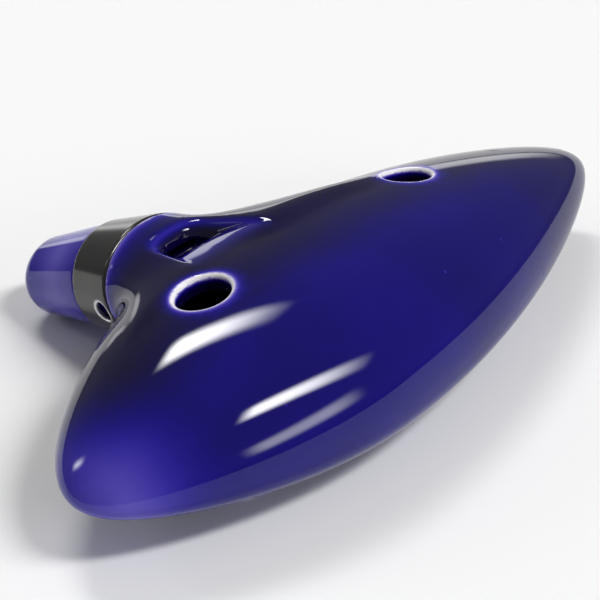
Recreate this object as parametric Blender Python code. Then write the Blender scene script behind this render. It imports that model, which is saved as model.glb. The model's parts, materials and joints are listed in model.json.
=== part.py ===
"""A twelve-hole clay ocarina, lying on its finger holes and on the lip of its mouthpiece.

It is built as a potter builds it. Two pressed half shells meet on a seam round the body's widest line, and
hold the air chamber. The thumb shell carries the root of the mouthpiece, with the window and the sharp edge
(the labium) that make the sound. The mouthpiece is luted to the root in two halves: a floor with the windway
cut into it, and a roof that closes the windway. A grey metal-glazed band covers that joint, and a hole for a
strap runs through band and floor. All facing parts keep a thin joint of slip between them.

Frame: +X along the body to its long tail, +Y the way the mouthpiece points, +Z up, origin on the table under
the middle of the whole instrument.
"""

import math

import bmesh
import bpy
from mathutils import Matrix, Vector

MM = 0.001
SLIP = 0.3 * MM  # joint between two luted parts
OVERSHOOT = 12 * MM  # how far a cutter runs past the surface that it cuts

# The body, measured from its widest station.
HEAD_LENGTH = 68.6 * MM
TAIL_LENGTH = 101.4 * MM
FRONT_BREADTH = 31.0 * MM  # away from the mouthpiece
BACK_BREADTH = 36.0 * MM
THUMB_RISE = 21.5 * MM  # domed thumb side
FINGER_DROP = 14.7 * MM  # flatter finger side
HEAD_TAPER = 0.26
TAIL_TAPER = 0.34
WALL = 4.6 * MM

# The mouthpiece. Distances along it count from the band's inner edge, outwards.
STEM_X = -2.8 * MM
STEM_Y = 38.5 * MM
STEM_Z = 3.2 * MM
STEM_SLOPE = math.radians(22.3)
ROOT_HALF_WIDTH = 16.6 * MM
ROOT_HALF_DEPTH = 12.7 * MM
ROOT_LENGTH = 25 * MM
ROOT_FLARE = 20 * MM  # it widens by this much on its way into the body
ROOT_INNER_HALF_DEPTH = 6.2 * MM
BAND_WIDTH = 13.9 * MM
BAND_THICKNESS = 1.3 * MM
BAND_LIP_HALF_WIDTH = 13.5 * MM
BAND_LIP_HALF_DEPTH = 12.0 * MM
BAND_STEP = 0.5 * MM  # the band stands this far over the tip
TIP_HALF_WIDTH = 9.4 * MM
TIP_HALF_DEPTH = 8.5 * MM
TIP_END = 38.2 * MM
TIP_ROUNDING = 8.0 * MM  # half axis of the rounding that ends in the flat blowing face
TIP_FACE = 0.8  # share of that rounding at which the flat face cuts it off

# The voice: windway, window and labium, in a side view with Y across and Z up.
WINDWAY_WIDTH = 9.4 * MM
WINDWAY_EXIT = (33.2 * MM, 12.0 * MM)
WINDWAY_EXIT_HEIGHT = 1.5 * MM
WINDWAY_ENTRY_HEIGHT = 2.4 * MM
WINDWAY_TILT = math.radians(5)  # steeper than the mouthpiece
WINDOW_WIDTH = 11.4 * MM
WINDOW_LENGTH = 6.6 * MM
LABIUM_RAMP = math.radians(31)
LABIUM_UNDERCUT = math.radians(6)

# Holes: the centre from the widest station, then the diameter.
RIM_CHAMFER = 0.8 * MM
THUMB_HOLES = (
    (-20.0 * MM, 10.8 * MM, 11.8 * MM),
    (47.0 * MM, 9.8 * MM, 11.0 * MM),
)
FINGER_HOLES = (
    (-42.0 * MM, 7.0 * MM, 5.0 * MM),  # left little finger
    (-30.5 * MM, -6.5 * MM, 7.4 * MM),
    (-15.0 * MM, -11.5 * MM, 8.0 * MM),
    (-12.5 * MM, 1.5 * MM, 4.6 * MM),  # second hole of the left middle finger
    (1.5 * MM, -10.0 * MM, 8.4 * MM),
    (24.0 * MM, -8.5 * MM, 9.2 * MM),
    (39.5 * MM, -10.0 * MM, 9.6 * MM),
    (40.5 * MM, 3.0 * MM, 5.0 * MM),  # second hole of the right middle finger
    (54.5 * MM, -6.5 * MM, 8.6 * MM),
    (70.0 * MM, 2.0 * MM, 6.2 * MM),  # right little finger
)
STRAP_HOLE_DIAMETER = 4.4 * MM
STRAP_HOLE_ALONG = 3.4 * MM
STRAP_HOLE_BELOW = 1.8 * MM

# Fineness of the meshes.
SHELL_STATIONS = 44
SHELL_SEGMENTS = 56
CHAMBER_STATIONS = 30
CHAMBER_SEGMENTS = 36
STEM_SEGMENTS = 48
HOLE_SEGMENTS = 28

BLUE_GLAZE = ("blue_glaze", (0.022, 0.012, 0.16, 1.0), 0.08, 0.0)
METAL_GLAZE = ("metal_glaze", (0.16, 0.155, 0.145, 1.0), 0.28, 0.85)


def clear_scene():
    for old in list(bpy.data.objects):
        bpy.data.objects.remove(old)


def material(name, colour, roughness, metallic):
    found = bpy.data.materials.get(name)
    if found:
        return found
    made = bpy.data.materials.new(name)
    made.use_nodes = True
    shader = made.node_tree.nodes["Principled BSDF"]
    shader.inputs["Base Color"].default_value = colour
    shader.inputs["Roughness"].default_value = roughness
    shader.inputs["Metallic"].default_value = metallic
    return made


def empty(name, location, turn_about_x=0.0, parent=None):
    made = bpy.data.objects.new(name, None)
    bpy.context.scene.collection.objects.link(made)
    made.location = location
    made.rotation_euler = (turn_about_x, 0, 0)
    made.parent = parent
    return made


def add_object(name, shape, parent, finish=None):
    """Puts a bmesh into the scene: as a part where it has a finish, and as a hidden cutter where it has none."""
    bmesh.ops.recalc_face_normals(shape, faces=shape.faces)
    mesh = bpy.data.meshes.new(name)
    shape.to_mesh(mesh)
    shape.free()
    made = bpy.data.objects.new(name, mesh)
    bpy.context.scene.collection.objects.link(made)
    made.parent = parent
    if finish:
        mesh.materials.append(material(*finish))
        mesh.shade_smooth()
        mesh.set_sharp_from_angle(angle=math.radians(35))
    else:
        made.hide_render = True
        made.display_type = "WIRE"
    return made


def combine(part, operation, other):
    step = part.modifiers.new(f"{operation.lower()} {other.name}", "BOOLEAN")
    step.operation = operation
    step.solver = "EXACT"
    step.object = other


def fullness(x, head, tail):
    """Share of the widest section that the body keeps at x: an ellipse that is drawn in towards its ends."""
    reach, taper = (head, HEAD_TAPER) if x < 0 else (tail, TAIL_TAPER)
    share = x / reach
    return math.sqrt(max(0.0, 1 - share * share)) * (1 - taper * share * share)


def pressed(unit_y, unit_z, inset):
    """Presses a point of the round form to the body's four different half axes."""
    breadth = (BACK_BREADTH if unit_y > 0 else FRONT_BREADTH) - inset
    depth = (THUMB_RISE if unit_z > 0 else FINGER_DROP) - inset
    return unit_y * breadth, unit_z * depth


def body_form(name, inset, stations, segments, parent, finish=None):
    """The sweet-potato form: half its outline, spun about X and then pressed to its breadths and depths."""
    head, tail = HEAD_LENGTH - inset, TAIL_LENGTH - inset
    shape = bmesh.new()
    outline = []
    for i in range(stations + 1):
        sweep = math.sin(math.pi * (i / stations - 0.5))
        x = sweep * (head if sweep < 0 else tail)
        outline.append(shape.verts.new((x, 0, fullness(x, head, tail))))
    edges = [shape.edges.new(pair) for pair in zip(outline, outline[1:])]
    bmesh.ops.spin(
        shape,
        geom=outline + edges,
        cent=(0, 0, 0),
        axis=(1, 0, 0),
        angle=2 * math.pi,
        steps=segments,
        use_merge=True,
    )
    for vert in shape.verts:
        vert.co.y, vert.co.z = pressed(vert.co.y, vert.co.z, inset)
    bmesh.ops.remove_doubles(shape, verts=shape.verts, dist=0.01 * MM)
    return add_object(name, shape, parent, finish)


def surface_point(x, y, side):
    """(point, outward normal) of the outer body over (x, y). Side is 1 for the thumb side, -1 for the finger side."""
    step = 0.05 * MM

    def height(px, py):
        round_radius = fullness(px, HEAD_LENGTH, TAIL_LENGTH)
        across = py / (BACK_BREADTH if py > 0 else FRONT_BREADTH)
        depth = THUMB_RISE if side > 0 else FINGER_DROP
        return side * depth * math.sqrt(max(0.0, round_radius**2 - across**2))

    slope_x = (height(x + step, y) - height(x - step, y)) / (2 * step)
    slope_y = (height(x, y + step) - height(x, y - step)) / (2 * step)
    normal = Vector((-slope_x, -slope_y, 1)).normalized() * side
    return Vector((x, y, height(x, y))), normal


def ring(shape, along, half_width, half_depth, segments):
    """One elliptical section of the mouthpiece, across its own Y axis."""
    turns = (2 * math.pi * i / segments for i in range(segments))
    return [
        shape.verts.new((half_width * math.cos(turn), along, half_depth * math.sin(turn))) for turn in turns
    ]


def loft(name, sections, parent, finish=None, segments=STEM_SEGMENTS):
    """Closes a skin over elliptical sections, each (distance along, half width, half depth)."""
    shape = bmesh.new()
    rings = [ring(shape, *section, segments) for section in sections]
    for loop, following in zip(rings, rings[1:]):
        for i in range(segments):
            j = (i + 1) % segments
            shape.faces.new((loop[i], loop[j], following[j], following[i]))
    shape.faces.new(rings[0])
    shape.faces.new(rings[-1])
    return add_object(name, shape, parent, finish)


def extruded(name, profile, half_width, parent):
    """A cutter with a side-view profile of (y, z) points, carried across X."""
    shape = bmesh.new()
    face = shape.faces.new([shape.verts.new((-half_width, y, z)) for y, z in profile])
    grown = bmesh.ops.extrude_face_region(shape, geom=[face])["geom"]
    moved = [item for item in grown if isinstance(item, bmesh.types.BMVert)]
    bmesh.ops.translate(shape, verts=moved, vec=(2 * half_width, 0, 0))
    return add_object(name, shape, parent)


def block(name, low, high, parent):
    shape = bmesh.new()
    bmesh.ops.create_cube(shape, size=1)
    size = Vector(high) - Vector(low)
    centre = (Vector(high) + Vector(low)) / 2
    bmesh.ops.transform(shape, matrix=Matrix.Translation(centre) @ Matrix.Diagonal((*size, 1)), verts=shape.verts)
    return add_object(name, shape, parent)


def hole_cutter(name, point, normal, diameter, parent):
    """A drill with a flared shoulder that breaks the rim's edge, standing on the surface along its normal."""
    radius = diameter / 2
    outline = (
        (0, -WALL - OVERSHOOT / 2),
        (radius, -WALL - OVERSHOOT / 2),
        (radius, -RIM_CHAMFER),
        (radius + RIM_CHAMFER, RIM_CHAMFER / 2),
        (radius + RIM_CHAMFER + OVERSHOOT / 4, OVERSHOOT / 3),
        (0, OVERSHOOT / 3),
    )
    shape = bmesh.new()
    verts = [shape.verts.new((r, 0, z)) for r, z in outline]
    edges = [shape.edges.new(pair) for pair in zip(verts, verts[1:])]
    bmesh.ops.spin(
        shape,
        geom=verts + edges,
        cent=(0, 0, 0),
        axis=(0, 0, 1),
        angle=2 * math.pi,
        steps=HOLE_SEGMENTS,
        use_merge=True,
    )
    bmesh.ops.remove_doubles(shape, verts=shape.verts, dist=0.01 * MM)
    made = add_object(name, shape, parent)
    made.rotation_mode = "QUATERNION"
    made.rotation_quaternion = normal.to_track_quat("Z", "Y")
    made.location = point
    return made


def drill_holes(shell, holes, side, parent):
    for i, (x, y, diameter) in enumerate(holes):
        cutter = hole_cutter(f"{shell.name}_hole_{i}", *surface_point(x, y, side), diameter, parent)
        combine(shell, "DIFFERENCE", cutter)


def root_sections():
    """The root widens from the band's size as it enters the body, and grows shallower."""
    sections = []
    steps = 9
    for i in range(steps + 1):
        inwards = i / steps
        half_width = ROOT_HALF_WIDTH + ROOT_FLARE * inwards**1.6
        half_depth = ROOT_HALF_DEPTH + (ROOT_INNER_HALF_DEPTH - ROOT_HALF_DEPTH) * inwards
        sections.append((-ROOT_LENGTH * inwards - SLIP / 2, half_width, half_depth))
    return sections


def mouthpiece_sections():
    """Under the band the mouthpiece is a plain neck. Past it, it tapers and rounds to the flat blowing face."""
    neck_inset = BAND_THICKNESS + SLIP
    sections = [
        (SLIP / 2, ROOT_HALF_WIDTH - neck_inset, ROOT_HALF_DEPTH - neck_inset),
        (BAND_WIDTH, BAND_LIP_HALF_WIDTH - neck_inset, BAND_LIP_HALF_DEPTH - neck_inset),
        (BAND_WIDTH + SLIP, BAND_LIP_HALF_WIDTH - BAND_STEP, BAND_LIP_HALF_DEPTH - BAND_STEP),
    ]
    steps = 14
    start = BAND_WIDTH + SLIP
    rounding_start = TIP_END - TIP_FACE * TIP_ROUNDING
    for i in range(1, steps + 1):
        sweep = i / steps
        along = start + (TIP_END - start) * math.sin(sweep * math.pi / 2)
        taper = (along - start) / (TIP_END - start)
        into_rounding = max(0.0, (along - rounding_start) / TIP_ROUNDING)
        kept = math.sqrt(1 - into_rounding**2)
        half_width = (sections[2][1] + (TIP_HALF_WIDTH - sections[2][1]) * taper) * kept
        half_depth = (sections[2][2] + (TIP_HALF_DEPTH - sections[2][2]) * taper) * kept
        sections.append((along, half_width, half_depth))
    return sections


def voicing_profile():
    """Side view of the window: the windway's end wall, the labium's ramp over it and its undercut below."""
    wall_slope = math.tan(STEM_SLOPE)
    exit_y, exit_z = WINDWAY_EXIT
    rise = STEM_SLOPE + WINDWAY_TILT
    edge_y = exit_y - WINDOW_LENGTH * math.cos(rise)
    edge_z = exit_z + WINDOW_LENGTH * math.sin(rise)
    top_z = THUMB_RISE + OVERSHOOT
    floor_z = 5 * MM
    ramp_run = 13 * MM
    undercut_run = 12 * MM
    return (
        (edge_y, edge_z),
        (edge_y - undercut_run, edge_z - undercut_run * math.tan(LABIUM_UNDERCUT)),
        (edge_y - undercut_run, floor_z),
        (exit_y - (exit_z - floor_z) * wall_slope, floor_z),
        (exit_y + (top_z - exit_z) * wall_slope, top_z),
        (edge_y - ramp_run, top_z),
        (edge_y - ramp_run, edge_z + ramp_run * math.tan(LABIUM_RAMP)),
    )


def windway_cutter(parent):
    """The windway narrows from the blowing face to the window. Its own Y runs along it and its roof is at Z 0."""
    half_width = WINDWAY_WIDTH / 2
    inner, outer = -3 * MM, 60 * MM
    low_inner, low_outer = -WINDWAY_EXIT_HEIGHT, -WINDWAY_ENTRY_HEIGHT
    profile = ((inner, 0), (outer, 0), (outer, low_outer), (inner, low_inner))
    return extruded("windway_cutter", profile, half_width, parent)


def build_shells(body, stem, windway_frame):
    chamber = body_form("chamber_cutter", WALL, CHAMBER_STATIONS, CHAMBER_SEGMENTS, body)
    root = loft("root_form", root_sections(), stem)
    voicing = extruded("voicing_cutter", voicing_profile(), WINDOW_WIDTH / 2, body)
    voicing.location.x = STEM_X
    windway = windway_cutter(windway_frame)
    far = 200 * MM
    over_seam = block("over_seam_cutter", (-far, -far, -SLIP / 2), (far, far, far), body)
    under_seam = block("under_seam_cutter", (-far, -far, -far), (far, far, SLIP / 2), body)

    thumb_shell = body_form("thumb_shell", 0, SHELL_STATIONS, SHELL_SEGMENTS, body, BLUE_GLAZE)
    combine(thumb_shell, "UNION", root)
    combine(thumb_shell, "DIFFERENCE", chamber)
    combine(thumb_shell, "DIFFERENCE", under_seam)
    combine(thumb_shell, "DIFFERENCE", voicing)
    combine(thumb_shell, "DIFFERENCE", windway)
    drill_holes(thumb_shell, THUMB_HOLES, 1, body)

    finger_shell = body_form("finger_shell", 0, SHELL_STATIONS, SHELL_SEGMENTS, body, BLUE_GLAZE)
    combine(finger_shell, "UNION", root)
    combine(finger_shell, "DIFFERENCE", chamber)
    combine(finger_shell, "DIFFERENCE", over_seam)
    drill_holes(finger_shell, FINGER_HOLES, -1, body)


def build_mouthpiece(body, stem, windway_frame):
    """The roof, the floor with its windway, and the band round both."""
    radius = STRAP_HOLE_DIAMETER / 2
    strap_sections = [(-40 * MM, radius, radius), (40 * MM, radius, radius)]
    strap = loft("strap_hole_cutter", strap_sections, stem, segments=20)
    strap.rotation_euler = (0, 0, math.pi / 2)
    strap.location = (0, STRAP_HOLE_ALONG, -STRAP_HOLE_BELOW)
    windway = bpy.data.objects["windway_cutter"]
    far = 90 * MM
    over_roof_line = block("over_roof_line_cutter", (-far, -far, -SLIP / 2), (far, far, far), windway_frame)
    under_roof_line = block("under_roof_line_cutter", (-far, -far, -far), (far, far, SLIP / 2), windway_frame)

    roof = loft("mouthpiece_roof", mouthpiece_sections(), stem, BLUE_GLAZE)
    combine(roof, "DIFFERENCE", under_roof_line)

    floor = loft("mouthpiece_floor", mouthpiece_sections(), stem, BLUE_GLAZE)
    combine(floor, "DIFFERENCE", over_roof_line)
    combine(floor, "DIFFERENCE", windway)
    combine(floor, "DIFFERENCE", strap)

    band_sections = [
        (SLIP / 2, ROOT_HALF_WIDTH, ROOT_HALF_DEPTH),
        (BAND_WIDTH, BAND_LIP_HALF_WIDTH, BAND_LIP_HALF_DEPTH),
    ]
    bore_sections = [
        (along + push, half_width - BAND_THICKNESS, half_depth - BAND_THICKNESS)
        for push, (along, half_width, half_depth) in zip((-MM, MM), band_sections)
    ]
    band = loft("band", band_sections, stem, METAL_GLAZE)
    combine(band, "DIFFERENCE", loft("band_bore_cutter", bore_sections, stem))
    combine(band, "DIFFERENCE", strap)


def resting_lean(mouthpiece):
    """How far the instrument rolls about X until its belly and the mouthpiece's lip both touch the table."""
    belly = [
        (BACK_BREADTH * math.sin(turn / 100), -FINGER_DROP * math.cos(turn / 100)) for turn in range(-150, 151)
    ]
    lip = [
        (
            STEM_Y + along * math.cos(STEM_SLOPE) - half_depth * math.sin(STEM_SLOPE),
            STEM_Z - along * math.sin(STEM_SLOPE) - half_depth * math.cos(STEM_SLOPE),
        )
        for along, _, half_depth in mouthpiece
    ]

    def lowest(points, lean):
        return min(y * math.sin(lean) + z * math.cos(lean) for y, z in points)

    low, high = 0.0, math.radians(10)
    for _ in range(30):
        lean = (low + high) / 2
        if lowest(lip, lean) < lowest(belly, lean):
            low = lean
        else:
            high = lean
    return lean


def stand_on_table(body):
    """Moves the whole to the middle of its own bounding box, with the lowest point on the table."""
    bpy.context.view_layer.update()
    state = bpy.context.evaluated_depsgraph_get()
    corners = []
    for part in body.children_recursive:
        if part.type == "MESH" and not part.hide_render:
            ready = part.evaluated_get(state)
            corners += [ready.matrix_world @ vert.co for vert in ready.data.vertices]
    low = [min(corner[axis] for corner in corners) for axis in range(3)]
    high = [max(corner[axis] for corner in corners) for axis in range(3)]
    body.location -= Vector(((low[0] + high[0]) / 2, (low[1] + high[1]) / 2, low[2]))


def main():
    clear_scene()
    body = empty("body_centre", (0, 0, 0), resting_lean(mouthpiece_sections()))
    stem = empty("mouthpiece_axis", (STEM_X, STEM_Y, STEM_Z), -STEM_SLOPE, body)
    windway_tilt = -STEM_SLOPE - WINDWAY_TILT
    windway_frame = empty("windway_roof_line", (STEM_X, *WINDWAY_EXIT), windway_tilt, body)
    build_shells(body, stem, windway_frame)
    build_mouthpiece(body, stem, windway_frame)
    stand_on_table(body)


main()
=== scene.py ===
import json
import math

import bpy
import numpy as np
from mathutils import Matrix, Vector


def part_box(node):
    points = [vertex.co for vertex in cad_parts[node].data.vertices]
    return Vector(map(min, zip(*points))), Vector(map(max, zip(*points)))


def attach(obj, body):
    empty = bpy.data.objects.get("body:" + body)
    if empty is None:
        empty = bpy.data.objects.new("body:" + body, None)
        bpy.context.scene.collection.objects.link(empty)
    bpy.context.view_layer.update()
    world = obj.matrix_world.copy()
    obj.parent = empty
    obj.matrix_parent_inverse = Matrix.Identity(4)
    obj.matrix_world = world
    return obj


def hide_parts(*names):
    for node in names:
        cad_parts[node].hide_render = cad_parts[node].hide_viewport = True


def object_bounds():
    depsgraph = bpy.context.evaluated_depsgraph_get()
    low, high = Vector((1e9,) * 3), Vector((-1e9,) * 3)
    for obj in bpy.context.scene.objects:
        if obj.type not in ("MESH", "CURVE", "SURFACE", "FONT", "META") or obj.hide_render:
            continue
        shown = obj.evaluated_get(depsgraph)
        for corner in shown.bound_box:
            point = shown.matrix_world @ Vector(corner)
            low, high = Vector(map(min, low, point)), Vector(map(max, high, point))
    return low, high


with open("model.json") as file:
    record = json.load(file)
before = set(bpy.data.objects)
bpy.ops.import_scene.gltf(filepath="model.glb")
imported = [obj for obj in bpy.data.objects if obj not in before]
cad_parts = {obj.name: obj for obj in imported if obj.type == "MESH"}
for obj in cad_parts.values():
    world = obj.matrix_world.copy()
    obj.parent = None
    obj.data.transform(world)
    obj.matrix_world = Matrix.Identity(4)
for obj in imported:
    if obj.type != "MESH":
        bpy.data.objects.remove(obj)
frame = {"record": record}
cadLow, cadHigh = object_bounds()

import openvdb
from mathutils import Matrix, Vector

# An alto ocarina of white clay under a deep cobalt glaze, with a dark metallic band round its mouthpiece.
# Every form is a distance field in millimetres: below zero in the clay, zero on its skin. The origin is the
# body's widest station, on the seam, with X to the tail, Y to the mouthpiece and Z to the thumb side.

mm = 0.001

potato = {
    "widestAt": 0.4035,  # share of the length, from the head
    "front": 31.0,  # half sizes away from the mouthpiece, towards it, up and down
    "back": 36.0,
    "rise": 21.44,
    "drop": 14.7,
    "lift": 0.07,  # keeps the belly's soft curve out of the table
    "headTaper": 0.26,  # how far each end is drawn in from an ellipse
    "tailTaper": 0.34,
    "wall": 4.6,
    "endBlend": 12.0,  # how softly the head's curve turns into the tail's
    "sideBlend": 8.0,
    "seamBlend": 6.0,
    "cell": 0.45,  # spacing of the lattice that the field is sampled on
    "thin": 0.012,  # how freely flat stretches of its skin are simplified
    "margin": 2.0,  # room that the lattice leaves round the body, with more for root and crest
    "rootRoom": 12.0,
    "crestRoom": 4.0,
}

stem = {
    "x": -2.8,
    "y": 38.5,
    "z": 3.2,
    "slope": math.radians(22.3),
    "rimWidth": 16.6,  # half sizes where the root meets the band
    "rimDepth": 12.7,
    "rootLength": 25.0,
    "flare": 15.0,  # how much the root's half width grows on its way into the body
    "flarePower": 1.6,
    "innerDepth": 5.2,
    "rootEndBlend": 4.0,
    "fillet": 3.0,
    "tailStart": 6.0,  # the tail's side begins this far from the mouthpiece's axis, over this blend
    "tailBlend": 5.0,
    "tailFlare": 2.0,  # what the tail's side has more, of flare, depth and fillet
    "tailDepth": 1.5,
    "tailFillet": 5.0,
    "bandWidth": 13.9,
    "bandThick": 1.3,
    "lipWidth": 13.5,
    "lipDepth": 12.0,
    "step": 0.5,  # how far the band stands over the tip
    "tipWidth": 9.4,
    "tipDepth": 8.15,
    "tipEnd": 38.2,
    "tipRound": 6.5,  # half axis of the rounding that ends in the flat blowing face
    "tipFace": 0.8,  # share of that rounding at which the face cuts it off
    "slip": 0.15,  # half the joint between two luted parts
    "low": (-19, 30, -22),  # corners of the mouthpiece's lattice, in X from its axis
    "high": (19, 79, 19),
    "cell": 0.36,
    "thin": 0.008,
}

# The ocarina rests on its belly and on the lip of its mouthpiece. So it leans, by the difference between the
# mouthpiece's own slope and the slope of its blowing face in the frame.
lean = stem["slope"] + math.asin(frame["record"]["mounts"][0]["axis"][2])
leanTurn = Matrix.Rotation(lean, 3, "X")
thumbLow, thumbHigh = (np.array(corner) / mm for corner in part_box("thumb_shell"))
length = thumbHigh[0] - thumbLow[0]
potato["head"] = length * potato["widestAt"]
potato["tail"] = length - potato["head"]
frontReach = math.hypot(potato["front"] * math.cos(lean), potato["rise"] * math.sin(lean))
bellyReach = math.hypot(potato["front"] * math.sin(lean), potato["drop"] * math.cos(lean))
makersOrigin = np.array(
    [
        thumbLow[0] + potato["head"],
        thumbLow[1] + frontReach,
        cadLow[2] / mm + potato["lift"] + bellyReach,
    ]
)

voice = {
    "exitY": 33.2,  # where the windway's roof meets the window
    "exitZ": 12.0,
    "tilt": math.radians(5),  # steeper than the mouthpiece
    "slotWidth": 9.4,
    "slotExit": 1.5,  # heights of the slot at its inner and outer ends
    "slotEntry": 2.4,
    "slotTaper": 46.0,
    "slotOverrun": 3.0,
    "slotBlend": 0.5,
    "windowWidth": 11.4,
    "windowLength": 6.6,
    "ramp": math.radians(31),
    "undercut": math.radians(6),
    "reach": 12.0,
    "floor": 5.0,
    "flareStart": 1.0,  # the window widens from this far above the windway's exit
    "flare": 0.5,
    "wallFlare": 0.3,
    "edgeBlend": 0.5,
    "cutBlend": 0.6,
    "lip": 2.4,
    "corner": 4.0,
}

# Each hole: its centre from the widest station, then its diameter.
thumbHoles = [(-20.0, 10.8, 11.8), (47.0, 9.8, 11.0)]
fingerHoles = [
    (-42.0, 7.0, 5.0),
    (-30.5, -6.5, 7.4),
    (-15.0, -11.5, 8.0),
    (-12.5, 1.5, 4.6),
    (1.5, -10.0, 8.4),
    (24.0, -8.5, 9.2),
    (39.5, -10.0, 9.6),
    (40.5, 3.0, 5.0),
    (54.5, -6.5, 8.6),
    (70.0, 2.0, 6.2),
]
strapHole = {"along": 3.4, "below": 1.8, "diameter": 4.4, "lip": 0.6}

# Sizes of the small roundings where two skins meet.
soft = {
    "hole": 1.3,
    "joint": 0.7,
    "chamber": 0.8,
    "slot": 0.4,
    "tipStart": 0.8,
    "blowingFace": 1.2,
    "slotEntry": 0.7,
    "bandEdge": 0.7,
    "bandBore": 0.3,
    "strapInTip": 0.3,
}


# How far a smooth step from 0 to 1 has come: half of one plus the hyperbolic tangent.
def blendStep(value, width):
    return 0.5 + 0.5 * np.tanh(value / width)


# The lower of two distances, with a fillet of about the given size where they cross.
def softMin(a, b, size):
    overlap = np.maximum(size - np.abs(a - b), 0.0) / size
    return np.minimum(a, b) - overlap * overlap * size * 0.25


def softMax(a, b, size):
    return -softMin(-a, -b, size)


# The body: (y / breadth)^2 + (z / depth)^2 less the squared fullness of the station, over its own slope.
# Fullness is an ellipse's height that is drawn in by a share of the squared station.
def bodyDistance(x, y, z, inset):
    f = potato
    side = blendStep(x, f["endBlend"])
    reach = f["head"] + (f["tail"] - f["head"]) * side - inset
    taper = f["headTaper"] + (f["tailTaper"] - f["headTaper"]) * side
    share = (x / reach) ** 2
    drawn = 1 - taper * share
    fullness = (1 - share) * drawn**2
    across = f["front"] + (f["back"] - f["front"]) * blendStep(y, f["sideBlend"]) - inset
    deep = f["drop"] + (f["rise"] - f["drop"]) * blendStep(z, f["seamBlend"]) - inset
    level = (y / across) ** 2 + (z / deep) ** 2 - fullness
    alongSlope = (drawn**2 + 2 * taper * (1 - share) * drawn) * 2 * x / reach**2
    leastSlope = 0.02  # keeps the middle of the body from dividing by nothing
    slope = np.sqrt((2 * y / across**2) ** 2 + (2 * z / deep**2) ** 2 + alongSlope**2 + leastSlope**2)
    return level / slope


# Where a point lies on the mouthpiece: across it, along it from the band's inner edge, and up from its axis.
def stemPlace(x, y, z):
    cosine, sine = math.cos(stem["slope"]), math.sin(stem["slope"])
    dy, dz = y - stem["y"], z - stem["z"]
    return x - stem["x"], dy * cosine - dz * sine, dy * sine + dz * cosine


# Distance to an elliptical section with half sizes that change along the mouthpiece.
def ovalDistance(across, up, halfWidth, halfDepth):
    level = (across / halfWidth) ** 2 + (up / halfDepth) ** 2 - 1
    slope = np.sqrt((2 * across / halfWidth**2) ** 2 + (2 * up / halfDepth**2) ** 2 + 0.002)
    return level / slope


# The root: it flares and grows shallower on its way into the body.
def rootDistance(x, y, z):
    across, along, up = stemPlace(x, y, z)
    inwards = np.clip(-along / stem["rootLength"], 0, 1.1)
    tailSide = blendStep(across - stem["tailStart"], stem["tailBlend"])
    flare = stem["flare"] + stem["tailFlare"] * tailSide
    innerDepth = stem["innerDepth"] + stem["tailDepth"] * tailSide
    halfWidth = stem["rimWidth"] + flare * inwards ** stem["flarePower"]
    halfDepth = stem["rimDepth"] + (innerDepth - stem["rimDepth"]) * inwards
    oval = ovalDistance(across, up, halfWidth, halfDepth)
    return softMax(oval, -along - stem["rootLength"], stem["rootEndBlend"])


# The window and the ramp of the labium, seen from the side: everything inside of the windway's end wall and
# outside of the wedge between the ramp and the undercut.
def voicingDistance(x, y, z):
    v = voice
    rise = stem["slope"] + v["tilt"]
    edgeY = v["exitY"] - v["windowLength"] * math.cos(rise)
    edgeZ = v["exitZ"] + v["windowLength"] * math.sin(rise)
    dy, dz = y - edgeY, z - edgeZ
    overRamp = dz * math.cos(v["ramp"]) + dy * math.sin(v["ramp"])
    overUndercut = dz * math.cos(v["undercut"]) - dy * math.sin(v["undercut"])
    wedge = softMax(overRamp, -overUndercut, v["edgeBlend"])
    turn = stem["slope"]
    pastWall = (y - v["exitY"]) * math.cos(turn) - (z - v["exitZ"]) * math.sin(turn)
    flared = v["flare"] * np.maximum(z - v["exitZ"] - v["flareStart"], 0)
    beside = np.abs(x - stem["x"]) - v["windowWidth"] / 2 - flared
    opening = softMax(beside, pastWall - v["wallFlare"] * flared, v["corner"])
    cut = softMax(opening, -wedge, v["cutBlend"])
    return np.maximum(np.maximum(cut, v["floor"] - z), edgeY - v["reach"] - y)


# The windway: a flat slot that narrows from the blowing face to the window.
def windwayDistance(x, y, z):
    v = voice
    turn = stem["slope"] + v["tilt"]
    dy, dz = y - v["exitY"], z - v["exitZ"]
    along = dy * math.cos(turn) - dz * math.sin(turn)
    up = dy * math.sin(turn) + dz * math.cos(turn)
    tall = v["slotExit"] + (v["slotEntry"] - v["slotExit"]) * np.clip(along / v["slotTaper"], 0, 1)
    beside = np.abs(x - stem["x"]) - v["slotWidth"] / 2
    slot = softMax(beside, np.abs(up + tall / 2) - tall / 2, v["slotBlend"])
    return np.maximum(slot, -along - v["slotOverrun"])


# (point, outward normal) of the body's skin over x and y, on the thumb side (1) or the finger side (-1),
# by walking down the distance field.
def skinPoint(x, y, side):
    rounds, stride, small = 40, 0.8, 0.02
    z = side * potato["rise"] * 1.2
    for step in range(rounds):
        z -= side * float(bodyDistance(x, y, z, 0)) * stride
    point = np.array([x, y, z])
    slope = np.array(
        [
            bodyDistance(*(point + small * axis), 0) - bodyDistance(*(point - small * axis), 0)
            for axis in np.eye(3)
        ]
    )
    return point, slope / np.linalg.norm(slope)


# A drilled hole: the distance from its axis less its radius, kept to its own side of the body.
def drillDistance(x, y, z, point, normal, diameter):
    drillDepth = potato["wall"] * 1.8
    dx, dy, dz = x - point[0], y - point[1], z - point[2]
    height = dx * normal[0] + dy * normal[1] + dz * normal[2]
    radial = np.sqrt(np.maximum(dx**2 + dy**2 + dz**2 - height**2, 1e-9))
    return np.maximum(radial - diameter / 2, -height - drillDepth)


def strapDistance(x, y, z):
    _, along, up = stemPlace(x, y, z)
    return np.hypot(along - strapHole["along"], up + strapHole["below"]) - strapHole["diameter"] / 2


drills = [(*skinPoint(x, y, 1), diameter) for x, y, diameter in thumbHoles]
drills += [(*skinPoint(x, y, -1), diameter) for x, y, diameter in fingerHoles]


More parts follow.
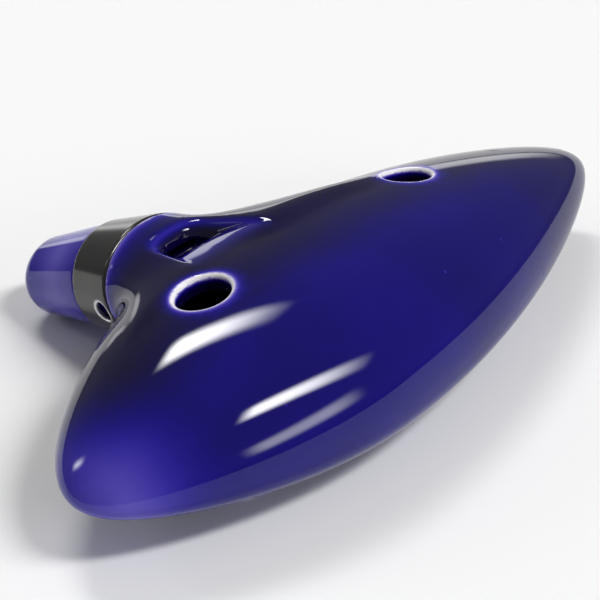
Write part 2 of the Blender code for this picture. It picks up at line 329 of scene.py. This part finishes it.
# Body and root together, with a fillet between them that is larger on the tail's side.
def outerBody(x, y, z):
    tailSide = blendStep(x - stem["x"] - stem["tailStart"], stem["tailBlend"])
    fillet = stem["fillet"] + stem["tailFillet"] * tailSide
    return softMin(bodyDistance(x, y, z, 0), rootDistance(x, y, z), fillet)


# The glazed body: shell, root and their fillet, less the chamber, the voice and every hole with its soft lip.
def glazedBody(x, y, z):
    _, along, _ = stemPlace(x, y, z)
    clay = softMax(outerBody(x, y, z), along + stem["slip"], soft["joint"])
    clay = softMax(clay, -bodyDistance(x, y, z, potato["wall"]), soft["chamber"])
    clay = softMax(clay, -voicingDistance(x, y, z), voice["lip"])
    clay = softMax(clay, -windwayDistance(x, y, z), soft["slot"])
    for point, normal, diameter in drills:
        clay = softMax(clay, -drillDistance(x, y, z, point, normal, diameter), soft["hole"])
    return clay


# Half width and half depth of the band's outside at a place along the mouthpiece.
def bandHalves(along):
    share = np.clip(along / stem["bandWidth"], 0, 1)
    halfWidth = stem["rimWidth"] + (stem["lipWidth"] - stem["rimWidth"]) * share
    halfDepth = stem["rimDepth"] + (stem["lipDepth"] - stem["rimDepth"]) * share
    return halfWidth, halfDepth


# The mouthpiece: a plain neck under the band, then a tapered tip. The tip's sections shrink by the square
# root of one less the square of the way into its rounding, up to the flat blowing face.
def glazedMouthpiece(x, y, z):
    across, along, up = stemPlace(x, y, z)
    inset = stem["bandThick"] + 2 * stem["slip"]
    halfWidth, halfDepth = bandHalves(along)
    neck = ovalDistance(across, up, halfWidth - inset, halfDepth - inset)
    start = stem["bandWidth"] + 2 * stem["slip"]
    share = np.clip((along - start) / (stem["tipEnd"] - start), 0, 1)
    fullWidth, fullDepth = stem["lipWidth"] - stem["step"], stem["lipDepth"] - stem["step"]
    rounded = np.clip((along - stem["tipEnd"]) / stem["tipRound"] + stem["tipFace"], 0, 0.95)
    kept = np.sqrt(1 - rounded**2)
    tip = ovalDistance(
        across,
        up,
        (fullWidth + (stem["tipWidth"] - fullWidth) * share) * kept,
        (fullDepth + (stem["tipDepth"] - fullDepth) * share) * kept,
    )
    neckOverrun = 1.0
    neck = np.maximum(neck, along - start - neckOverrun)
    tip = softMax(tip, start - along, soft["tipStart"])
    clay = softMax(np.minimum(neck, tip), along - stem["tipEnd"], soft["blowingFace"])
    clay = np.maximum(clay, 2 * stem["slip"] - along)
    clay = softMax(clay, -windwayDistance(x, y, z), soft["slotEntry"])
    return softMax(clay, -strapDistance(x, y, z), soft["strapInTip"])


# The band: the space between two ovals, from the root to the tip, with soft edges and the strap hole.
def metalBand(x, y, z):
    across, along, up = stemPlace(x, y, z)
    halfWidth, halfDepth = bandHalves(along)
    outside = ovalDistance(across, up, halfWidth, halfDepth)
    inside = ovalDistance(across, up, halfWidth - stem["bandThick"], halfDepth - stem["bandThick"])
    ends = np.maximum(stem["slip"] - along, along - stem["bandWidth"])
    ring = softMax(outside, ends, soft["bandEdge"])
    ring = softMax(ring, -inside, soft["bandBore"])
    return softMax(ring, -strapDistance(x, y, z), strapHole["lip"])


# The field's slope at each point, from its change over a small step each way.
def fieldSlope(field, points):
    small = 0.02  # mm
    slope = np.empty_like(points)
    for axis in range(3):
        shift = np.zeros(3)
        shift[axis] = small
        slope[:, axis] = (field(*(points + shift).T) - field(*(points - shift).T)) / (2 * small)
    return slope


# Slides points down the slope until they lie on the field's zero skin, at most one stride in a round.
def settle(field, points, rounds, stride):
    for turn in range(rounds):
        slope = fieldSlope(field, points)
        steepness = np.maximum((slope**2).sum(1), 0.05)
        move = (field(*points.T) / steepness)[:, None] * slope
        far = np.linalg.norm(move, axis=1)
        points = points - move * np.minimum(1.0, stride / np.maximum(far, 1e-9))[:, None]
    return points


# Samples a field on a lattice, skins it where it is zero and settles that skin onto the exact field.
def skinField(name, field, low, high, cell, thin):
    x = np.arange(low[0], high[0], cell)[:, None, None]
    y = np.arange(low[1], high[1], cell)[None, :, None]
    z = np.arange(low[2], high[2], cell)[None, None, :]
    values = np.clip(field(x, y, z), -3 * cell, 3 * cell).astype(np.float32)
    lattice = openvdb.FloatGrid(3 * cell)
    lattice.copyFromArray(values)
    points, triangles, quads = lattice.convertToPolygons(isovalue=0.0, adaptivity=thin)
    rounds = 4
    points = settle(field, np.array(points, float) * cell + np.array(low), rounds, cell)
    normals = fieldSlope(field, points)
    normals /= np.linalg.norm(normals, axis=1)[:, None]
    faces = [*np.array(triangles).tolist(), *np.array(quads).tolist()]
    mesh = bpy.data.meshes.new(name)
    turn = np.array(leanTurn)
    mesh.from_pydata(((points @ turn.T + makersOrigin) * mm).tolist(), [], faces)
    mesh.validate()
    mesh.shade_smooth()
    mesh.normals_split_custom_set_from_vertices((normals @ turn.T).tolist())
    piece = bpy.data.objects.new(name, mesh)
    bpy.context.scene.collection.objects.link(piece)
    print(f"{name}: {len(points)} points, {len(triangles) + 2 * len(quads)} triangles")
    return piece, points


bodyLow = (
    -potato["head"] - potato["margin"],
    -potato["front"] - potato["margin"],
    -potato["drop"] - potato["margin"],
)
bodyHigh = (
    potato["tail"] + potato["margin"],
    potato["back"] + potato["rootRoom"],
    potato["rise"] + potato["crestRoom"],
)
stemLow = (stem["x"] + stem["low"][0], *stem["low"][1:])
stemHigh = (stem["x"] + stem["high"][0], *stem["high"][1:])
shellPiece, shellPoints = skinField(
    "glazedShell", glazedBody, bodyLow, bodyHigh, potato["cell"], potato["thin"]
)
tipPiece, tipPoints = skinField(
    "glazedMouthpiece", glazedMouthpiece, stemLow, stemHigh, stem["cell"], stem["thin"]
)
bandPiece, bandPoints = skinField("metalBand", metalBand, stemLow, stemHigh, stem["cell"], stem["thin"])


def setPointValues(piece, name, values):
    layer = piece.data.attributes.new(name, "FLOAT", "POINT")
    layer.data.foreach_set("value", values.astype(np.float32))


# A smooth step from 0 at one value to 1 at another: three squares less two cubes of the way between them.
def rampUp(value, start, end):
    way = np.clip((value - start) / (end - start), 0, 1)
    return way * way * (3 - 2 * way)


# Thicknesses of the glaze, as multiples of what glaze["absorbs"] stands for, and lengths in millimetres.
glazeCover = {
    "full": 1.56,
    "inside": 1.5,
    "rimBare": 0.82,  # the glaze has run off the clay up to this far from an edge
    "rimFull": 5.0,
    "rimPower": 0.45,
    "voiceEdge": (0.45, 1.5),  # start and pace of the distance that counts as the one from an edge
    "rootEdge": (0.8, 1.2),
    "tipBandEdge": (0.9, 1.5),
    "tipSlotEdge": (0.5, 1.2),
    "front": 0.84,  # the glaze has run thinner on the side away from the mouthpiece
    "frontSpan": (-8, 17),
    "tailMore": 0.3,
    "tailSpan": (45, 90),
    "headSpan": (4, 25),
    "headCover": 0.37,
    "rootSpan": (0, 10),
    "rootCover": 0.45,
    "insideSpan": (1.0, 2.6),
    "tipCover": 0.31,
    "tipMore": 0.22,  # what the tip has more, away from its thinnest place
    "tipThinnest": 9.0,
    "tipSpan": (0, 12),
    "tipEdge": 2.4,
    "tipPower": 0.5,
}


# The distance that counts as the one from an edge, where a plain distance would bare too much or too little.
def countedEdge(distance, startAndPace):
    start, pace = startAndPace
    return start + distance * pace


# How thick the glaze lies on the body: full on the flats, thinner at the head and beside the band, and next
# to nothing on the edges of holes, where two skins meet.
def shellCover(points):
    c = glazeCover
    x, y, z = points.T
    skin = np.abs(outerBody(x, y, z))
    edge = np.full(len(points), 99.0)
    for point, normal, diameter in drills:
        edge = np.minimum(edge, np.hypot(skin, drillDistance(x, y, z, point, normal, diameter)))
    voiceEdge = np.hypot(skin, voicingDistance(x, y, z))
    edge = np.minimum(edge, countedEdge(voiceEdge, c["voiceEdge"]))
    _, along, _ = stemPlace(x, y, z)
    edge = np.minimum(edge, countedEdge(np.abs(along), c["rootEdge"]))
    cover = c["front"] + (c["full"] - c["front"]) * rampUp(y, *c["frontSpan"])
    cover *= 1 + c["tailMore"] * rampUp(x, *c["tailSpan"])
    cover *= c["headCover"] + (1 - c["headCover"]) * rampUp(x + potato["head"], *c["headSpan"])
    cover *= c["rootCover"] + (1 - c["rootCover"]) * rampUp(-along, *c["rootSpan"])
    cover *= rampUp(edge, c["rimBare"], c["rimFull"]) ** c["rimPower"]
    depth = rampUp(skin, *c["insideSpan"])
    return cover * (1 - depth) + c["inside"] * depth


# How thick the glaze lies on the mouthpiece: thin, and thinnest in the middle and on the edges of the slot.
def tipCover(points):
    c = glazeCover
    _, along, _ = stemPlace(*points.T)
    pastBand = along - stem["bandWidth"]
    cover = c["tipCover"] + c["tipMore"] * rampUp(np.abs(pastBand - c["tipThinnest"]), *c["tipSpan"])
    bandEdge = countedEdge(np.abs(pastBand), c["tipBandEdge"])
    slotEdge = countedEdge(np.abs(windwayDistance(*points.T)), c["tipSlotEdge"])
    return cover * rampUp(np.minimum(bandEdge, slotEdge), c["rimBare"], c["tipEdge"]) ** c["tipPower"]


setPointValues(shellPiece, "glazeCover", shellCover(shellPoints))
setPointValues(tipPiece, "glazeCover", tipCover(tipPoints))
# On the band the value is the distance from the strap hole's wall.
setPointValues(bandPiece, "glazeCover", np.abs(strapDistance(*bandPoints.T)))

glaze = {
    "clay": (0.86, 0.85, 0.88),
    "absorbs": (7.4, 8.2, 2.25),  # per full thickness of glaze, in red, green and blue
    "depth": (0.0035, 0.0015, 0.004),
    "roughness": 0.035,
    "bending": 1.39,
    "cloudScale": 26,
    "cloudAmount": 0.30,
    "streakScale": 120,
    "streakLength": 4,
    "streakShare": 0.35,
    "speckScale": 420,
    "speckCore": 0.14,
    "speckRarity": 0.985,
    "speckThinning": 0.45,
    "waveScale": 34,
    "waveHeight": 0.00009,
}

metal = {
    "dark": (0.03, 0.03, 0.032, 1),
    "light": (0.10, 0.096, 0.09, 1),
    "metallic": 0.75,
    "roughness": 0.12,
    "cloudScale": 90,
    "bare": (0.80, 0.79, 0.80, 1),
    "bareSpan": (0.25, 1.1),  # distances from the strap hole over which the bare clay ends
}


def node(tree, kind, place, **values):
    made = tree.nodes.new(kind)
    made.location = place
    for key, value in values.items():
        setattr(made, key, value)
    return made


def feed(tree, source, target):
    tree.links.new(source, target)


def calculate(tree, operation, place, *terms):
    made = node(tree, "ShaderNodeMath", place, operation=operation)
    for slot, term in zip(made.inputs, terms):
        if isinstance(term, (int, float)):
            slot.default_value = term
        else:
            feed(tree, term, slot)
    return made.outputs[0]


def newGroup(name, inputs, outputs):
    tree = bpy.data.node_groups.new(name, "ShaderNodeTree")
    for title, kind in inputs:
        tree.interface.new_socket(name=title, in_out="INPUT", socket_type=kind)
    for title, kind in outputs:
        tree.interface.new_socket(name=title, in_out="OUTPUT", socket_type=kind)
    entry = node(tree, "NodeGroupInput", (-900, 0))
    leave = node(tree, "NodeGroupOutput", (900, 0))
    return tree, entry, leave


# The colour of white clay seen through coloured glaze: in each channel the clay's own value times e to the
# minus absorption times thickness, plus a little that the glaze scatters itself.
def makeGlazeGroup():
    tree, entry, leave = newGroup(
        "glazeOverClay",
        [("Thickness", "NodeSocketFloat")],
        [("Color", "NodeSocketColor")],
    )
    joined = node(tree, "ShaderNodeCombineColor", (500, 0))
    for i, (clay, absorbs, scattered) in enumerate(zip(glaze["clay"], glaze["absorbs"], glaze["depth"])):
        thinned = calculate(tree, "MULTIPLY", (-600, -200 * i), entry.outputs["Thickness"], -absorbs)
        passed = calculate(tree, "EXPONENT", (-350, -200 * i), thinned)
        seen = calculate(tree, "MULTIPLY_ADD", (-100, -200 * i), passed, clay, scattered)
        feed(tree, seen, joined.inputs[i])
    feed(tree, joined.outputs[0], leave.inputs[0])
    return tree


# Cloudy and streaky unevenness about 1: two octaves of noise, one stretched along the body.
def makeMottleGroup():
    tree, entry, leave = newGroup("mottle", [("Amount", "NodeSocketFloat")], [("Factor", "NodeSocketFloat")])
    place = node(tree, "ShaderNodeTexCoord", (-900, -300))
    clouds = node(tree, "ShaderNodeTexNoise", (-500, -200))
    clouds.inputs["Scale"].default_value = glaze["cloudScale"]
    clouds.inputs["Detail"].default_value = 3
    feed(tree, place.outputs["Object"], clouds.inputs["Vector"])
    stretch = node(tree, "ShaderNodeMapping", (-700, -500))
    stretch.inputs["Scale"].default_value = (1 / glaze["streakLength"], 1, 1)
    feed(tree, place.outputs["Object"], stretch.inputs["Vector"])
    streaks = node(tree, "ShaderNodeTexNoise", (-500, -500))
    streaks.inputs["Scale"].default_value = glaze["streakScale"]
    streaks.inputs["Detail"].default_value = 5
    feed(tree, stretch.outputs["Vector"], streaks.inputs["Vector"])
    share = glaze["streakShare"]
    both = calculate(tree, "MULTIPLY_ADD", (-200, -300), streaks.outputs[0], share, clouds.outputs[0])
    centred = calculate(tree, "SUBTRACT", (0, -300), both, (1 + share) / 2)
    scaled = calculate(tree, "MULTIPLY", (200, -200), centred, entry.outputs["Amount"])
    feed(tree, calculate(tree, "MULTIPLY_ADD", (400, -200), scaled, 2.0, 1.0), leave.inputs[0])
    return tree


# Pinholes: the cores of a few cells of a fine Voronoi pattern, the ones whose own random value is high.
def makeSpeckGroup():
    tree, entry, leave = newGroup("pinholes", [("Scale", "NodeSocketFloat")], [("Mask", "NodeSocketFloat")])
    place = node(tree, "ShaderNodeTexCoord", (-900, -300))
    cells = node(tree, "ShaderNodeTexVoronoi", (-500, 0))
    feed(tree, place.outputs["Object"], cells.inputs["Vector"])
    feed(tree, entry.outputs["Scale"], cells.inputs["Scale"])
    core = calculate(tree, "LESS_THAN", (-200, 100), cells.outputs["Distance"], glaze["speckCore"])
    red = node(tree, "ShaderNodeSeparateColor", (-300, -200))
    feed(tree, cells.outputs["Color"], red.inputs[0])
    chosen = calculate(tree, "GREATER_THAN", (-50, -200), red.outputs[0], glaze["speckRarity"])
    feed(tree, calculate(tree, "MULTIPLY", (200, 0), core, chosen), leave.inputs[0])
    return tree


glazeGroup = makeGlazeGroup()
mottleGroup = makeMottleGroup()
speckGroup = makeSpeckGroup()


def useGroup(tree, group, place):
    return node(tree, "ShaderNodeGroup", place, node_tree=group)


def makeGlazeMaterial():
    material = bpy.data.materials.new("cobaltGlaze")
    material.use_nodes = True
    tree = material.node_tree
    shader = tree.nodes["Principled BSDF"]
    shader.inputs["Roughness"].default_value = glaze["roughness"]
    shader.inputs["IOR"].default_value = glaze["bending"]
    cover = node(tree, "ShaderNodeAttribute", (-1200, 200), attribute_name="glazeCover")
    mottle = useGroup(tree, mottleGroup, (-1200, -100))
    mottle.inputs["Amount"].default_value = glaze["cloudAmount"]
    uneven = calculate(tree, "MULTIPLY", (-900, 100), cover.outputs["Fac"], mottle.outputs["Factor"])
    specks = useGroup(tree, speckGroup, (-1200, -300))
    specks.inputs["Scale"].default_value = glaze["speckScale"]
    speckMask = specks.outputs["Mask"]
    thinner = calculate(tree, "MULTIPLY_ADD", (-900, -200), speckMask, -glaze["speckThinning"], 1.0)
    thickness = calculate(tree, "MULTIPLY", (-700, 0), uneven, thinner)
    colour = useGroup(tree, glazeGroup, (-450, 0))
    feed(tree, thickness, colour.inputs["Thickness"])
    feed(tree, colour.outputs["Color"], shader.inputs["Base Color"])
    place = node(tree, "ShaderNodeTexCoord", (-1200, -600))
    waves = node(tree, "ShaderNodeTexNoise", (-900, -600))
    waves.inputs["Scale"].default_value = glaze["waveScale"]
    waves.inputs["Detail"].default_value = 1
    feed(tree, place.outputs["Object"], waves.inputs["Vector"])
    bump = node(tree, "ShaderNodeBump", (-450, -500))
    bump.inputs["Distance"].default_value = glaze["waveHeight"]
    feed(tree, waves.outputs[0], bump.inputs["Height"])
    feed(tree, bump.outputs["Normal"], shader.inputs["Normal"])
    return material


def makeBandMaterial():
    material = bpy.data.materials.new("metalGlaze")
    material.use_nodes = True
    tree = material.node_tree
    shader = tree.nodes["Principled BSDF"]
    shader.inputs["Metallic"].default_value = metal["metallic"]
    shader.inputs["Roughness"].default_value = metal["roughness"]
    place = node(tree, "ShaderNodeTexCoord", (-1200, 0))
    clouds = node(tree, "ShaderNodeTexNoise", (-1000, 0))
    clouds.inputs["Scale"].default_value = metal["cloudScale"]
    clouds.inputs["Detail"].default_value = 5
    feed(tree, place.outputs["Object"], clouds.inputs["Vector"])
    tone = node(tree, "ShaderNodeMix", (-500, 0), data_type="RGBA")
    tone.inputs[6].default_value = metal["dark"]
    tone.inputs[7].default_value = metal["light"]
    feed(tree, clouds.outputs[0], tone.inputs[0])
    cover = node(tree, "ShaderNodeAttribute", (-1000, 300), attribute_name="glazeCover")
    bareness = node(tree, "ShaderNodeMapRange", (-700, 300), interpolation_type="SMOOTHERSTEP")
    bareFrom, bareTo = metal["bareSpan"]
    for key, value in {"From Min": bareFrom, "From Max": bareTo, "To Min": 1.0, "To Max": 0.0}.items():
        bareness.inputs[key].default_value = value
    feed(tree, cover.outputs["Fac"], bareness.inputs["Value"])
    withRim = node(tree, "ShaderNodeMix", (-250, 0), data_type="RGBA")
    withRim.inputs[7].default_value = metal["bare"]
    feed(tree, bareness.outputs[0], withRim.inputs[0])
    feed(tree, tone.outputs[2], withRim.inputs[6])
    feed(tree, withRim.outputs[2], shader.inputs["Base Color"])
    return material


cobaltGlaze = makeGlazeMaterial()
metalGlaze = makeBandMaterial()
shellPiece.data.materials.append(cobaltGlaze)
tipPiece.data.materials.append(cobaltGlaze)
bandPiece.data.materials.append(metalGlaze)

for piece, slot, stoodFor in (
    (shellPiece, "blue_glaze", ("thumb_shell", "finger_shell")),
    (tipPiece, "blue_glaze", ("mouthpiece_roof", "mouthpiece_floor")),
    (bandPiece, "metal_glaze", ("band",)),
):
    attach(piece, "root")
    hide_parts(*stoodFor)
print("pieces placed")

# The camera's place as seen from the maker's origin, in metres, with its lens in millimetres.
camera = {
    "azimuth": math.radians(-50.82),
    "elevation": math.radians(33.41),
    "distance": 0.43784,
    "right": -0.00132,
    "up": 0.00924,
    "lens": 125.93,
    "sensor": 36,
}


# Unit vectors to the camera, to its right and up, for an azimuth that is 0 when it looks along +Y.
def viewAxes(azimuth, elevation):
    level = math.cos(elevation)
    back = Vector((math.sin(azimuth) * level, -math.cos(azimuth) * level, math.sin(elevation)))
    right = Vector((math.cos(azimuth), math.sin(azimuth), 0))
    return back, right, back.cross(right)


def placeCamera():
    back, right, up = (leanTurn @ axis for axis in viewAxes(camera["azimuth"], camera["elevation"]))
    data = bpy.data.cameras.new("studioCamera")
    data.lens = camera["lens"]
    data.sensor_width = camera["sensor"]
    data.clip_start = 0.01
    made = bpy.data.objects.new("studioCamera", data)
    bpy.context.scene.collection.objects.link(made)
    spot = Vector(makersOrigin * mm) + back * camera["distance"] + right * camera["right"] + up * camera["up"]
    made.matrix_world = Matrix.Translation(spot) @ Matrix((right, up, back)).transposed().to_4x4()
    bpy.context.scene.camera = made


# The studio round the ocarina, seen from it. Each soft light is a strip between two directions, each of them
# a compass angle (0 is +Y, 90 is +X) and an elevation in degrees, with half its width and its glow.
studio = {
    "zenith": 0.22,
    "horizon": 0.16,
    "horizonTop": 7.0,  # degrees up to which the pale backdrop reaches
    "strips": [
        {"start": (19, 45), "end": (68, 58), "half": 5.2, "edge": 4.4, "tail": 0.85, "glow": 36.0},
        {"start": (180, 59), "end": (139, 32), "half": 6.5, "edge": 5.5, "tail": 0.8, "glow": 40.0},
        {"start": (188, 17), "end": (151, 17), "half": 9.0, "edge": 7.5, "tail": 0.4, "glow": 8.5},
        {"start": (20, 0), "end": (74, 3), "half": 4.5, "edge": 3.0, "tail": 0.3, "glow": 1.7},
        {"start": (-24, 29), "end": (-13, 30), "half": 10.0, "edge": 9.8, "tail": 0.2, "glow": 30.0},
    ],
}


def directionOf(compass, elevation):
    c, e = math.radians(compass), math.radians(elevation)
    return Vector((math.sin(c) * math.cos(e), math.cos(c) * math.cos(e), math.sin(e)))


# One soft light: how far a direction lies along and across the strip, as tangents from its middle, through a
# smooth fall to zero at its sides and ends. The far end fades out over the given share of the length.
def makeStripGroup():
    tree, entry, leave = newGroup(
        "softStrip",
        [
            ("Direction", "NodeSocketVector"),
            ("Middle", "NodeSocketVector"),
            ("Along", "NodeSocketVector"),
            ("Across", "NodeSocketVector"),
            ("Half Length", "NodeSocketFloat"),
            ("Half Width", "NodeSocketFloat"),
            ("Edge", "NodeSocketFloat"),
            ("Tail", "NodeSocketFloat"),
        ],
        [("Glow", "NodeSocketFloat")],
    )

    def dot(name, place):
        made = node(tree, "ShaderNodeVectorMath", place, operation="DOT_PRODUCT")
        feed(tree, entry.outputs["Direction"], made.inputs[0])
        feed(tree, entry.outputs[name], made.inputs[1])
        return made.outputs["Value"]

    def fall(value, low, high, place):
        made = node(tree, "ShaderNodeMapRange", place, interpolation_type="SMOOTHSTEP")
        feed(tree, value, made.inputs["Value"])
        feed(tree, low, made.inputs["From Min"])
        feed(tree, high, made.inputs["From Max"])
        made.inputs["To Min"].default_value = 1
        made.inputs["To Max"].default_value = 0
        return made.outputs[0]

    facing = calculate(tree, "MAXIMUM", (-500, 300), dot("Middle", (-700, 300)), 0.05)
    along = calculate(tree, "DIVIDE", (-300, 100), dot("Along", (-700, 100)), facing)
    across = calculate(tree, "DIVIDE", (-300, -100), dot("Across", (-700, -100)), facing)
    halfLength, halfWidth = entry.outputs["Half Length"], entry.outputs["Half Width"]
    innerWidth = calculate(tree, "SUBTRACT", (-300, -300), halfWidth, entry.outputs["Edge"])
    sides = fall(calculate(tree, "ABSOLUTE", (-100, -100), across), innerWidth, halfWidth, (100, -100))
    nearStart = calculate(tree, "SUBTRACT", (-300, -450), halfLength, entry.outputs["Edge"])
    ends = fall(calculate(tree, "ABSOLUTE", (-100, 100), along), nearStart, halfLength, (100, 100))
    tailSpan = calculate(tree, "MULTIPLY", (-100, -600), halfLength, entry.outputs["Tail"])
    tailStart = calculate(tree, "MULTIPLY_ADD", (50, -600), tailSpan, -2.0, halfLength)
    fading = fall(along, tailStart, halfLength, (250, -400))
    front = calculate(tree, "GREATER_THAN", (-300, 400), dot("Middle", (-700, 500)), 0.06)
    glow = calculate(tree, "MULTIPLY", (350, 0), sides, ends)
    glow = calculate(tree, "MULTIPLY", (500, 0), glow, fading)
    feed(tree, calculate(tree, "MULTIPLY", (650, 0), glow, front), leave.inputs[0])
    return tree


def makeWorld():
    world = bpy.data.worlds.new("studioRoom")
    world.use_nodes = True
    tree = world.node_tree
    group = makeStripGroup()
    seen = node(tree, "ShaderNodeTexCoord", (-1400, 0))
    split = node(tree, "ShaderNodeSeparateXYZ", (-1200, 300))
    feed(tree, seen.outputs["Generated"], split.inputs[0])
    rise = node(tree, "ShaderNodeMapRange", (-900, 300), interpolation_type="SMOOTHERSTEP")
    feed(tree, split.outputs["Z"], rise.inputs["Value"])
    rise.inputs["From Min"].default_value = 0.0
    rise.inputs["From Max"].default_value = math.sin(math.radians(studio["horizonTop"]))
    rise.inputs["To Min"].default_value = studio["horizon"]
    rise.inputs["To Max"].default_value = studio["zenith"]
    total = rise.outputs[0]
    for i, strip in enumerate(studio["strips"]):
        start, end = directionOf(*strip["start"]), directionOf(*strip["end"])
        middle = (start + end).normalized()
        along = (end - start).normalized()
        light = useGroup(tree, group, (-1000, -250 * i))
        feed(tree, seen.outputs["Generated"], light.inputs["Direction"])
        light.inputs["Middle"].default_value = middle
        light.inputs["Along"].default_value = along
        light.inputs["Across"].default_value = middle.cross(along)
        light.inputs["Half Length"].default_value = math.tan(start.angle(end) / 2)
        light.inputs["Half Width"].default_value = math.tan(math.radians(strip["half"]))
        light.inputs["Edge"].default_value = math.tan(math.radians(strip["edge"]))
        light.inputs["Tail"].default_value = strip["tail"]
        place = (-600 + 150 * i, 0)
        total = calculate(tree, "MULTIPLY_ADD", place, light.outputs["Glow"], strip["glow"], total)
    backdrop = tree.nodes["Background"]
    feed(tree, total, backdrop.inputs["Strength"])
    backdrop.inputs["Color"].default_value = (1, 1, 1, 1)
    bpy.context.scene.world = world


paper = {"half": 0.7, "color": (0.92, 0.92, 0.92, 1), "roughness": 0.9}


def makeFloor():
    mesh = bpy.data.meshes.new("paleFloor")
    half = paper["half"]
    corners = [(-half, -half, 0), (half, -half, 0), (half, half, 0), (-half, half, 0)]
    mesh.from_pydata(corners, [], [(0, 1, 2, 3)])
    piece = bpy.data.objects.new("paleFloor", mesh)
    bpy.context.scene.collection.objects.link(piece)
    material = bpy.data.materials.new("palePaper")
    material.use_nodes = True
    shader = material.node_tree.nodes["Principled BSDF"]
    shader.inputs["Base Color"].default_value = paper["color"]
    shader.inputs["Roughness"].default_value = paper["roughness"]
    mesh.materials.append(material)


placeCamera()
makeWorld()
makeFloor()
bpy.context.scene.view_settings.view_transform = "Standard"
print("studio placed")
